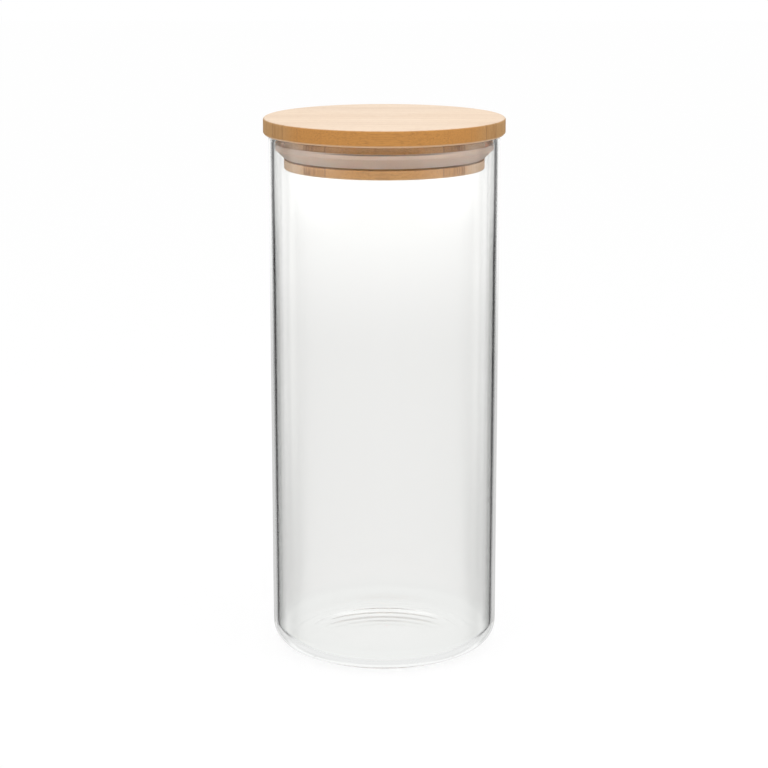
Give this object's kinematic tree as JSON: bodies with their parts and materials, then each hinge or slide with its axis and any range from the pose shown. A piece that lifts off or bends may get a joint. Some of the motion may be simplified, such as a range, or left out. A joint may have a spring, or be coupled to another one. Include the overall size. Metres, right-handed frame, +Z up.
{
  "type": "lidded glass canister",
  "caption": "Tall round clear glass storage jar with a push-in laminated bamboo lid, sealed by a translucent silicone ring in a groove of the lid's plug.",
  "frame": {"origin": "centre of the jar's standing ring, on the surface that it stands on", "axes": "+Z up along the jar's axis; X along the lid's bamboo strips; -Y towards the viewer of the picture"},
  "size_m": [0.1046, 0.1044, 0.236],
  "materials": {
    "clear_glass": "clear, polished borosilicate",
    "bamboo_disc": "fine sanded, lightly oiled laminated bamboo",
    "bamboo_plug": "turned laminated bamboo, bare",
    "silicone": "translucent, satin"
  },
  "bodies": {
    "jar": {"glass_jar": "clear_glass"},
    "seal": {"seal_ring": "silicone"},
    "lid": {"lid_disc_strip_01": "bamboo_disc", "lid_disc_strip_02": "bamboo_disc", "lid_disc_strip_03": "bamboo_disc", "lid_disc_strip_04": "bamboo_disc", "lid_disc_strip_05": "bamboo_disc", "lid_disc_strip_06": "bamboo_disc", "lid_disc_strip_07": "bamboo_disc", "lid_disc_strip_08": "bamboo_disc", "lid_disc_strip_09": "bamboo_disc", "lid_disc_strip_10": "bamboo_disc", "lid_disc_strip_11": "bamboo_disc", "lid_disc_strip_12": "bamboo_disc", "lid_disc_strip_13": "bamboo_disc", "lid_disc_strip_14": "bamboo_disc", "lid_plug_strip_01": "bamboo_plug", "lid_plug_strip_02": "bamboo_plug", "lid_plug_strip_03": "bamboo_plug", "lid_plug_strip_04": "bamboo_plug", "lid_plug_strip_05": "bamboo_plug", "lid_plug_strip_06": "bamboo_plug", "lid_plug_strip_07": "bamboo_plug", "lid_plug_strip_08": "bamboo_plug", "lid_plug_strip_09": "bamboo_plug", "lid_plug_strip_10": "bamboo_plug", "lid_plug_strip_11": "bamboo_plug"}
  },
  "joints": [
    {"name": "lid_lift", "type": "slide", "parent": "jar", "child": "seal", "axis": [0, 0, 1], "range_m": [0, 0.06]},
    {"name": "lid_turn", "type": "hinge", "parent": "seal", "child": "lid", "pos_m": [0, 0, 0.22], "axis": [0, 0, 1], "continuous": true}
  ]
}
